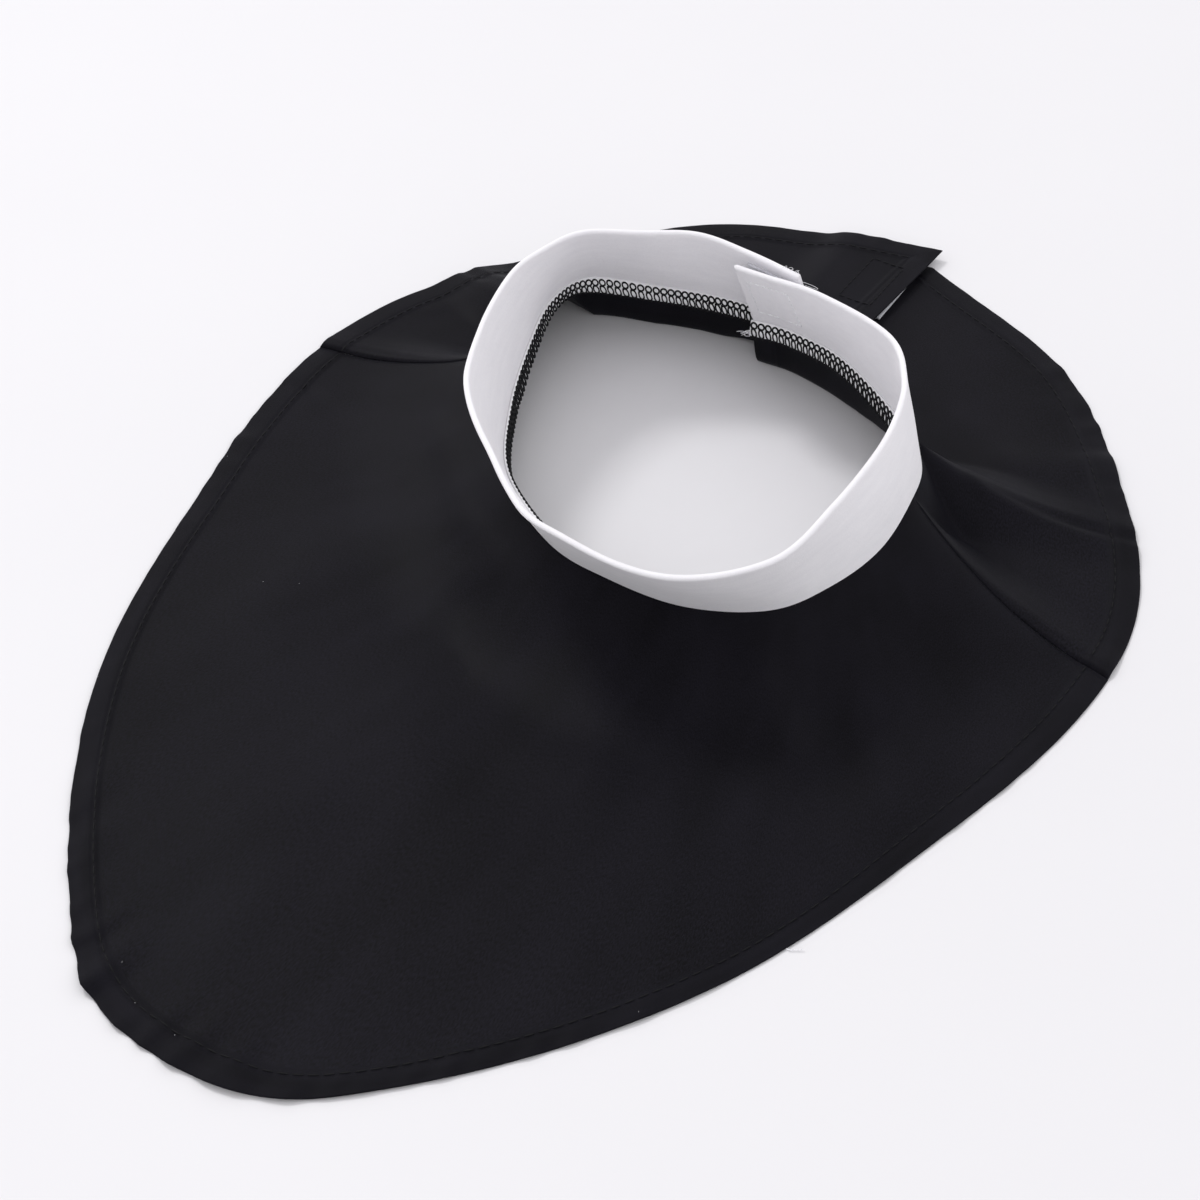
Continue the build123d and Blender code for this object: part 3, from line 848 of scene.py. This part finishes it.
bm = cloth_grid(
    260, 6, lambda u, v: allowance_place(allowance_end * u, v, 0.0), (allowance_end, ALLOWANCE_DEPTH * MM)
)
allowance = finished("neck_allowance_cloth", bm, white_cotton("allowance_cotton", (0.90, 0.90, 0.91)))
thicken(allowance, ALLOWANCE_THICK, 0.0)
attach(allowance, "bib")
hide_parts("neck_seam_allowance")

# %% [markdown]
# ## Overlock thread
# The allowance is bound by a machine that knots thread over its edge: a row of small rings under the seam,
# and below them long slanted loops that wrap the edge. Each is the same ring, made once by spinning a small
# circle. It is placed twice for each of nearly two hundred stitches, stretched and slanted each time.

# %% The ring template
RING_THREAD = 0.33


def ring_mesh():
    """A ring of radius 1 whose thread is a third of that in radius."""
    bm = bmesh.new()
    out = Matrix.Translation((1, 0, 0))
    tube = bmesh.ops.create_circle(bm, segments=5, radius=RING_THREAD, matrix=out)
    bmesh.ops.rotate(bm, verts=tube["verts"], cent=(1, 0, 0), matrix=Matrix.Rotation(pi / 2, 3, "X"))
    bmesh.ops.spin(
        bm, geom=bm.verts[:] + bm.edges[:], cent=(0, 0, 0), axis=(0, 0, 1), angle=2 * pi, steps=12,
        use_merge=True
    )
    bmesh.ops.remove_doubles(bm, verts=bm.verts, dist=1e-4)
    bmesh.ops.recalc_face_normals(bm, faces=bm.faces)
    mesh = bpy.data.meshes.new("ring")
    bm.to_mesh(mesh)
    bm.free()
    return mesh


def place_copy(bm, mesh, matrix):
    """Adds a copy of a mesh, transformed."""
    before = len(bm.verts)
    bm.from_mesh(mesh)
    bm.verts.ensure_lookup_table()
    bmesh.ops.transform(bm, matrix=matrix, verts=bm.verts[before:])


def basis(centre, x, y, z):
    """A matrix that puts a shape at a centre with these three axes."""
    return Matrix.Translation(centre) @ Matrix((x, y, z)).transposed().to_4x4()


ring = ring_mesh()
print("ring has", len(ring.polygons), "faces")

# %% Bind the allowance
STITCH, RING_OUT = 1.9 * MM, -0.42 * MM
chance = random.Random(7)
bm = bmesh.new()
count = int(allowance_end / STITCH)
for k in range(count):
    s = (k + 0.5) * STITCH
    depth = allowance_depth(s)
    upper_share = min(1.05 * MM / depth, 0.4)
    ahead = (allowance_place(s + MM, 0.2, 0) - allowance_place(s - MM, 0.2, 0)).normalized()
    down = (allowance_place(s, 1, 0) - allowance_place(s, 0, 0)).normalized()
    across = ahead.cross(down).normalized()
    wobble = chance.uniform(-0.12, 0.12)
    tilt = (ahead + down * (0.15 + wobble)).normalized()
    centre = allowance_place(s, upper_share, RING_OUT)
    place_copy(bm, ring, basis(centre, tilt * 0.86 * MM, down * 0.92 * MM, across * 0.95 * MM))
    low_share = (upper_share + 1.12) / 2 + 0.04
    reach = depth * (1.06 - upper_share) / 2 * 0.84
    slant = (down + ahead * (0.42 + wobble)).normalized()
    side = (ahead - slant * ahead.dot(slant)).normalized()
    centre = allowance_place(s + 0.25 * MM, low_share, RING_OUT)
    place_copy(bm, ring, basis(centre, side * 0.66 * MM, slant * reach, across * 1.0 * MM))
overlock = finished("neck_overlock_rings", bm, black_thread)
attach(overlock, "bib")
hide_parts("neck_overlock_thread")
print(count, "overlock stitches,", len(overlock.data.polygons), "faces")

# %% [markdown]
# ## Hem stitches
# A lockstitch shows as short dashes that sink into the cloth at each end. A stretched ball with few faces is
# enough for one, laid end to end along the groove of the hem.

# %% The dash template and rows of stitches
def dash_mesh():
    """A ball of radius 1 with forty faces, drawn out along Z when it is placed."""
    bm = bmesh.new()
    bmesh.ops.create_uvsphere(bm, u_segments=8, v_segments=5, radius=1.0)
    mesh = bpy.data.meshes.new("dash")
    bm.to_mesh(mesh)
    bm.free()
    return mesh


dash = dash_mesh()
THREAD = 0.2 * MM
HEM_STITCH, HEM_GAP = 2.5 * MM, 0.7 * MM


def add_dash(bm, start, stop, up, radius=THREAD):
    """One stitch from start to stop."""
    along = stop - start
    z = along / 2
    x = along.cross(up).normalized() * radius
    y = x.cross(along).normalized() * radius
    place_copy(bm, dash, basis((start + stop) / 2, x, y, z))


def hem_row(panel, keep):
    """The dashes along a panel's hem groove that lie where keep says."""
    bm = bmesh.new()
    step = HEM_STITCH + HEM_GAP
    length = panel.hem_length * 0.96
    for k in range(int(length / step)):
        a = k * step / length
        b = a + HEM_STITCH / length
        start, stop = (panel.surface(x, inset=HEM)[0] for x in (a, b))
        if (stop - start).length < 0.5 * MM or not keep((start + stop) / 2):
            continue
        lift = Vector((0, 0, 0.04 * MM))
        add_dash(bm, start + lift, stop + lift, Vector((0, 0, 1)))
    return bm


lower_tape_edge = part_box("back_hook_tape")[1].x + 1 * MM
end_hem_x = flap_corner.x - HEM
hem_rows = (
    ("front_hem_thread", hem_row(front, lambda p: True), "front_hem_stitches", "bib"),
    ("left_back_hem_thread", hem_row(left_back, lambda p: p.x > lower_tape_edge),
     "left_back_hem_stitches", "bib"),
    ("right_back_hem_thread", hem_row(right_back, lambda p: not on_flap(p)),
     "right_back_hem_stitches", "bib"),
    ("flap_hem_thread", hem_row(right_back, lambda p: on_flap(p) and p.x < end_hem_x),
     "flap_hem_stitches", "back_flap"),
)
for name, rows, node, body in hem_rows:
    piece = finished(name, rows, black_thread)
    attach(piece, body)
    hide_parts(node)
    print(name, len(piece.data.polygons) // len(dash.polygons), "stitches")

# %% [markdown]
# ## Hook-and-loop tapes
# Hook tape is a strip with rows of small stiff hooks, and loop tape is a strip with a brushed pile. They show
# when the ends are peeled open. The hooks are short dashes that lean over, and the pile is a slab whose face
# is pushed about by noise.

# %% Tapes on the collar
TAPE_LOW, TAPE_HIGH = 0.16, 0.84
TAPE_WIDTH = 16 * MM
hook_first = 1.5 * MM
loop_last = band_length - 1.5 * MM
hook_base = slab(
    "collar_hook_tape_strip", hook_first, hook_first + TAPE_WIDTH, TAPE_LOW, TAPE_HIGH,
    HALF, HALF + 0.45 * MM, hook_material, 18, 22
)
loop_base = slab(
    "collar_loop_tape_strip", loop_last - TAPE_WIDTH, loop_last, TAPE_LOW, TAPE_HIGH,
    -HALF - 0.7 * MM, -HALF, loop_material, 24, 28
)
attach(hook_base, "bib")
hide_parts("collar_hook_tape")
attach(loop_base, "collar_tab")
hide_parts("collar_loop_tape")

# %% Hooks on the collar and on the lower panel
HOOK_PITCH = 1.35 * MM


def hook_rows(columns, rows, foot, tip):
    """Small hooks in staggered rows: each is a leaning dash with a shorter one bent over its top."""
    bm = bmesh.new()
    for i in range(columns):
        for j in range(rows):
            u = (i + 0.5 + 0.25 * (j % 2)) / columns
            v = (j + 0.5) / rows
            root, top = foot(u, v), tip(u, v)
            side = (foot(min(u + 0.02, 1), v) - foot(max(u - 0.02, 0), v)).normalized()
            add_dash(bm, root, top, side, 0.13 * MM)
            add_dash(bm, top, top + side * 0.4 * MM - (top - root) * 0.3, side, 0.12 * MM)
    return bm


def collar_hook(out):
    def place(u, v):
        s = hook_first + 1 * MM + (TAPE_WIDTH - 2 * MM) * u
        return band_place(s, TAPE_LOW + 0.03 + (TAPE_HIGH - TAPE_LOW - 0.06) * v, out)
    return place


collar_hooks = finished(
    "collar_hooks",
    hook_rows(11, 14, collar_hook(HALF + 0.4 * MM), collar_hook(HALF + 1.0 * MM)),
    hook_material,
)
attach(collar_hooks, "bib")
print("collar hooks", len(collar_hooks.data.polygons), "faces")


# %% Tapes at the back
def flat_tape(name, low, high, bottom, top, material, turn=0.0):
    """A flat patch of tape with a rounded edge, sewn on a little turned."""
    size = high - low

    def place(u, v):
        edge = min(min(u, 1 - u) * size.x, min(v, 1 - v) * size.y)
        z = top - 0.15 * MM * (1 - ease(edge / (0.5 * MM)))
        return Vector((low.x + u * size.x - turn * (v - 0.5) * size.y, low.y + v * size.y, z))

    bm = cloth_grid(26, 48, place, size)
    return thicken(finished(name, bm, material), top - bottom)


HIDDEN = 3.1 * MM  # how much less of the tape's edge shows than the CAD patch gives
TURN = 0.03
patch_high = hook_high - Vector((HIDDEN, 0, 0))
back_hook = flat_tape(
    "back_hook_tape_patch", hook_low, patch_high, 0.5 * MM, hook_high.z - 0.25 * MM, hook_material, TURN
)


def back_hook_place(level):
    def place(u, v):
        x = hook_low.x + MM + (hook_high.x - HIDDEN - hook_low.x - 2 * MM) * u
        return Vector((x, hook_low.y + MM + (hook_high.y - hook_low.y - 2 * MM) * v, level))
    return place


back_hooks = finished(
    "back_hooks",
    hook_rows(9, 16, back_hook_place(hook_high.z - 0.3 * MM), back_hook_place(hook_high.z + 0.1 * MM)),
    hook_material,
)
loop_low, loop_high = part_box("back_loop_tape")
back_loop = flat_tape(
    "back_loop_tape_patch", loop_low, loop_high, loop_low.z, loop_high.z + 0.1 * MM, loop_material
)
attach(back_hook, "bib")
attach(back_hooks, "bib")
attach(back_loop, "back_flap")
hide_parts("back_hook_tape")
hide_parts("back_loop_tape")

# %% [markdown]
# ## Boxes of stitches
# Each tape is sewn on by a box of stitches, which shows on the other side of the cloth: white on the collar,
# black on the flap. They are rows of dashes between four corners, on whatever surface the corners lie.

# %% Sew the tapes on
def box_of_stitches(place, width, height):
    """Dashes round a box: place(u, v) gives the surface, width and height its size."""
    bm = bmesh.new()
    corners = ((0, 0), (1, 0), (1, 1), (0, 1), (0, 0))
    for (u0, v0), (u1, v1) in zip(corners, corners[1:]):
        length = width if u0 != u1 else height
        total = max(int(length / (2.4 * MM)), 1)
        for k in range(total):
            a, b = k / total, (k + 0.78) / total
            start = place(u0 + (u1 - u0) * a, v0 + (v1 - v0) * a)
            stop = place(u0 + (u1 - u0) * b, v0 + (v1 - v0) * b)
            add_dash(bm, start, stop, Vector((0.1, 0.2, 1)))
    return bm


def on_collar(first_s, out):
    def place(u, v):
        s = first_s + 1.5 * MM + (TAPE_WIDTH - 3 * MM) * u
        return band_place(s, TAPE_LOW + 0.05 + (TAPE_HIGH - TAPE_LOW - 0.1) * v, out)
    return place


flap_tree = BVHTree.FromPolygons(
    [v.co.copy() for v in right_back_cloth.data.vertices],
    [tuple(p.vertices) for p in right_back_cloth.data.polygons],
)
STITCH_INSET = 1.5 * MM


def on_flap_top(u, v):
    """The upper face of the flap over its tape."""
    x = loop_low.x + STITCH_INSET + (loop_high.x - loop_low.x - 2 * STITCH_INSET) * u
    y = loop_low.y + STITCH_INSET + (loop_high.y - loop_low.y - 2 * STITCH_INSET) * v
    hit = flap_tree.ray_cast(Vector((x, y, 0.05)), Vector((0, 0, -1)))[0]
    return hit + Vector((0, 0, 0.03 * MM))


tape_height = (TAPE_HIGH - TAPE_LOW) * BAND_HEIGHT
tape_boxes = (
    ("collar_hook_tape_thread", box_of_stitches(on_collar(hook_first, -HALF), TAPE_WIDTH, tape_height),
     "collar_hook_stitches", "bib", white_thread, "white_thread"),
    ("collar_loop_tape_thread",
     box_of_stitches(on_collar(loop_last - TAPE_WIDTH, HALF), TAPE_WIDTH, tape_height),
     "collar_loop_stitches", "collar_tab", white_thread, "white_thread"),
    ("back_loop_tape_thread", box_of_stitches(on_flap_top, 10 * MM, 21 * MM),
     "back_loop_stitches", "back_flap", black_thread, "black_thread"),
)
for name, rows, node, body, thread, slot_name in tape_boxes:
    piece = finished(name, rows, thread)
    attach(piece, body)
    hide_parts(node)

# %% [markdown]
# ## Shoulder seams from below
# Under each shoulder seam the two raw edges are pressed open: a narrow strip that follows the underside of
# the slope. It is hidden on the table, and shows when the bib is turned over.

# %% Shoulder allowances
STRIP_LENGTH, STRIP_WIDTH = 22 * MM, 11 * MM


def shoulder_strip(name, s, corner, node):
    """The pressed-open allowance under one shoulder seam."""
    start = band_place(s, 0, 0)
    run = Vector((corner.x - start.x, corner.y - start.y, 0))
    across = Vector((-run.y, run.x, 0)).normalized()

    def place(u, v):
        d = 2 * MM + STRIP_LENGTH * u
        spot = Vector((start.x, start.y, 0)) + run.normalized() * d + across * (v - 0.5) * STRIP_WIDTH
        near = min(slope_points, key=lambda p: (p.xy - spot.xy).length_squared)
        return Vector((spot.x, spot.y, max(near.z - 0.75 * MM, 0.4 * MM)))

    bm = cloth_grid(14, 6, place, (STRIP_LENGTH, STRIP_WIDTH))
    face_up(bm)
    piece = thicken(finished(name, bm, satin), 0.35 * MM)
    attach(piece, "bib")
    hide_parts(node)
    print(name, len(piece.data.vertices), "points")


all_points = [v.co for cloth in (front_cloth, left_back_cloth, right_back_cloth) for v in cloth.data.vertices]
slope_points = [p for p in all_points if abs(p.y - neck_middle.y) < 0.02 and abs(p.x) < 0.1]
shoulder_strip("left_shoulder_allowance_cloth", left_s, left_shoulder, "left_shoulder_allowance")
shoulder_strip("right_shoulder_allowance_cloth", right_s, right_shoulder, "right_shoulder_allowance")

# %% [markdown]
# ## Loose threads
# Small faults make cloth look like cloth: frayed ends where the band was cut, a tail of thread at the hem, a
# few specks of lint. Each is a short curve with a round bevel.

# %% Tails and tufts
def thread_curve(name, strands, radius, material, body):
    """Several short strands in one curve object, made a mesh."""
    curve = bpy.data.curves.new(name, "CURVE")
    curve.dimensions = "3D"
    curve.bevel_depth = radius
    curve.bevel_resolution = 1
    curve.resolution_u = 4
    for points in strands:
        spline = curve.splines.new("NURBS")
        spline.points.add(len(points) - 1)
        for point, place in zip(spline.points, points):
            point.co = (*place, 1.0)
        spline.order_u = 3
        spline.use_endpoint_u = True
    rough = bpy.data.objects.new(name, curve)
    bpy.context.scene.collection.objects.link(rough)
    bpy.context.view_layer.update()
    mesh = bpy.data.meshes.new_from_object(rough.evaluated_get(bpy.context.evaluated_depsgraph_get()))
    bpy.data.objects.remove(rough)
    mesh.name = name
    mesh.materials.clear()
    mesh.materials.append(material)
    piece = bpy.data.objects.new(name, mesh)
    bpy.context.scene.collection.objects.link(piece)
    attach(piece, body)
    return piece


def wisp(start, towards, length, bend):
    """A short curled strand."""
    side = Vector((chance.uniform(-1, 1), chance.uniform(-1, 1), chance.uniform(-0.3, 1))).normalized()
    return [start + towards * length * t + side * bend * sin(pi * t) * t for t in (0, 0.3, 0.6, 1.0)]


frays = []
for k in range(8):
    root = band_place(band_length - (0.6 + k * 0.7) * MM, 1.0, 0)
    lean = Vector((chance.uniform(-0.8, 0.8), 0.8, 0.35)).normalized()
    frays.append(wisp(root, lean, chance.uniform(0.5, 1.6) * MM, 0.5 * MM))
loop_root = band_place(band_length - 0.3 * MM, 0.9, 0)
loose_loop = ((0, 0, 0), (2, 1.5, -1), (5, 1, -1), (5, -1, 0), (2, -1.4, 0.5))
frays.append([loop_root + Vector(p) * MM for p in loose_loop])
thread_curve("collar_end_fray", frays, 0.045 * MM, white_thread, "collar_tab")
tails = []
for k in range(6):
    root = allowance_place(0.3 * MM, 0.5 + 0.1 * k, -0.3 * MM)
    lean = Vector((-0.8, -0.3, -0.9 + 0.25 * k)).normalized()
    tails.append(wisp(root, lean, chance.uniform(1.8, 4.0) * MM, 1.2 * MM))
thread_curve("neck_seam_fray", tails, 0.08 * MM, white_thread, "bib")
hem_tail_root = front.surface(0.225, inset=0)[0]
tail_line = ((-1, 0.4, -0.2), (0.6, -0.2, 0), (2, 0.9, 0.1), (3.4, 1.8, 0.2))
tail = [hem_tail_root + Vector(p) * MM for p in tail_line]
thread_curve("hem_thread_tail", [tail], 0.16 * MM, white_thread, "bib")

# %% Specks of lint
lint_bm = bmesh.new()
for k in range(9):
    share, v = chance.uniform(0.05, 0.95), chance.uniform(0.3, 0.97)
    spot = front.surface(share, v)[0] + Vector((0, 0, 0.05 * MM))
    turn = chance.uniform(0, pi)
    reach = chance.uniform(0.08, 0.2) * MM
    stop = spot + Vector((cos(turn), sin(turn), 0.1)) * reach * 2
    add_dash(lint_bm, spot, stop, Vector((0, 0, 1)), 0.035 * MM)
lint = finished("lint", lint_bm, white_thread)
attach(lint, "bib")

# %% [markdown]

# %% [markdown]
# ## Table, light and camera
# The bib lies on a pale table in a bright, soft room. Most of the light is even and comes from the sky. A
# lamp high above the wearer's right gives a narrow grey shadow along the far side, and a weak, broad one
# stands low at the front left.

# %% Table
def pale_table():
    material, shader = new_material("pale_table", (0.75, 0.747, 0.758), 0.6)
    cloudy = streaks(material, object_place(material), 6.0, (1.0, 1.0, 1.0), 4.0)
    shade = graded(material, cloudy, 0.3, 0.7, (0.743, 0.74, 0.752), (0.757, 0.754, 0.765))
    material.node_tree.links.new(shade, shader.inputs["Base Color"])
    return material


bm = bmesh.new()
bmesh.ops.create_grid(bm, x_segments=4, y_segments=4, size=3.0)
floor = finished("floor", bm, pale_table())

# %% Lights
def lamp(name, place, size, power, colour):
    """A square area lamp that faces the bib."""
    light = bpy.data.lights.new(name, "AREA")
    light.size, light.energy, light.color = size, power, colour
    holder = bpy.data.objects.new(name, light)
    holder.location = place
    holder.rotation_mode = "QUATERNION"
    holder.rotation_quaternion = (-Vector(place)).to_track_quat("-Z", "Y")
    bpy.context.scene.collection.objects.link(holder)


lamp("key", (-1.7, 0.5, 2.3), 0.6, 28.0, (1.0, 0.99, 1.0))
lamp("side", (1.6, -1.1, 0.9), 1.2, 4.0, (0.98, 0.98, 1.0))
world = bpy.data.worlds.new("room")
world.use_nodes = True
world.node_tree.nodes["Background"].inputs["Color"].default_value = (0.985, 0.975, 1.0, 1.0)
world.node_tree.nodes["Background"].inputs["Strength"].default_value = 0.93
bpy.context.scene.world = world
bpy.context.scene.view_settings.view_transform = "Standard"

# %% Camera
look_at = Vector((1.2, -4.8, 0)) * MM
camera_data = bpy.data.cameras.new("camera")
camera_data.lens, camera_data.sensor_width = 72.0, 36.0
camera = bpy.data.objects.new("camera", camera_data)
camera.location = Vector((235.8, -368.8, 418.2)) * MM
camera.rotation_mode = "QUATERNION"
camera.rotation_quaternion = (look_at - camera.location).to_track_quat("-Z", "Y")
bpy.context.scene.collection.objects.link(camera)
bpy.context.scene.camera = camera
